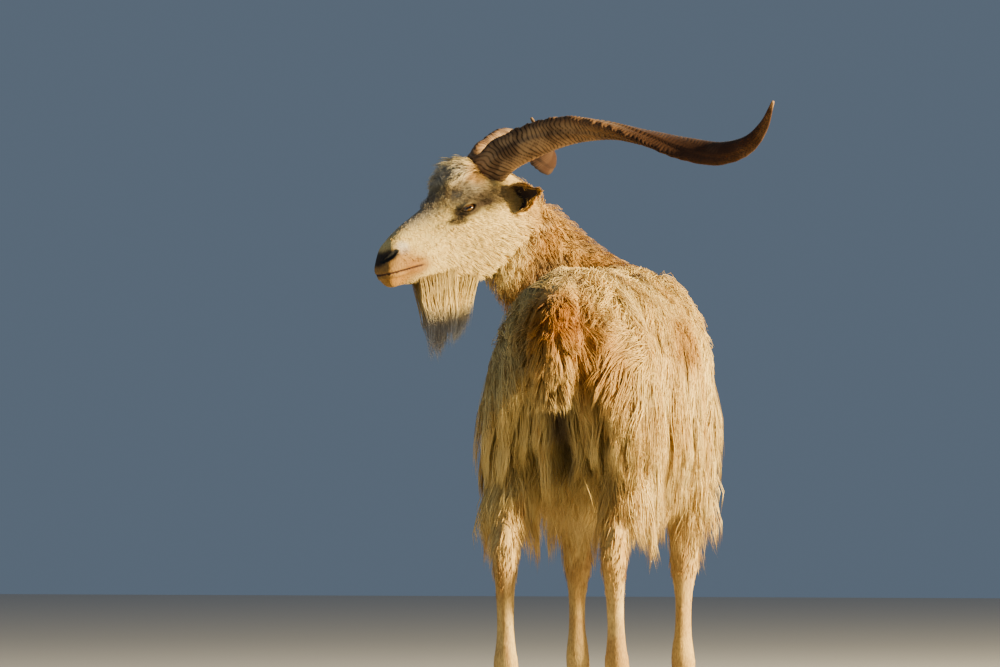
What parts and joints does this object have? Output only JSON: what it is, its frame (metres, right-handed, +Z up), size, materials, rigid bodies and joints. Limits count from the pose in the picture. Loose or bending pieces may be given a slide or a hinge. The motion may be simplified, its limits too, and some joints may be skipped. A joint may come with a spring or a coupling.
{
  "type": "long-haired billy goat",
  "caption": "Life-size long-haired male goat with wide twisted horns and a beard, standing square and looking back over its left side.",
  "frame": {"origin": "on the floor, under the middle of the goat's box", "axes": "+Z up, the body faces -Y, the goat's left is +X"},
  "size_m": [0.7238, 1.5108, 1.0537],
  "materials": {
    "coat": "long coarse cream hair",
    "eye": "wet, amber-brown",
    "horn": "ridged keratin, half matt",
    "hoof": "dull dark keratin"
  },
  "bodies": {
    "root": {"beard": "coat", "ear_left": "coat", "ear_right": "coat", "eye_left": "eye", "eye_right": "eye", "fore_leg_left": "coat", "fore_leg_left_claw_inner": "hoof", "fore_leg_left_claw_outer": "hoof", "fore_leg_right": "coat", "fore_leg_right_claw_inner": "hoof", "fore_leg_right_claw_outer": "hoof", "head": "coat", "hind_leg_left": "coat", "hind_leg_left_claw_inner": "hoof", "hind_leg_left_claw_outer": "hoof", "hind_leg_right": "coat", "hind_leg_right_claw_inner": "hoof", "hind_leg_right_claw_outer": "hoof", "horn_left": "horn", "horn_right": "horn", "neck": "coat", "tail": "coat", "torso": "coat"}
  },
  "joints": []
}
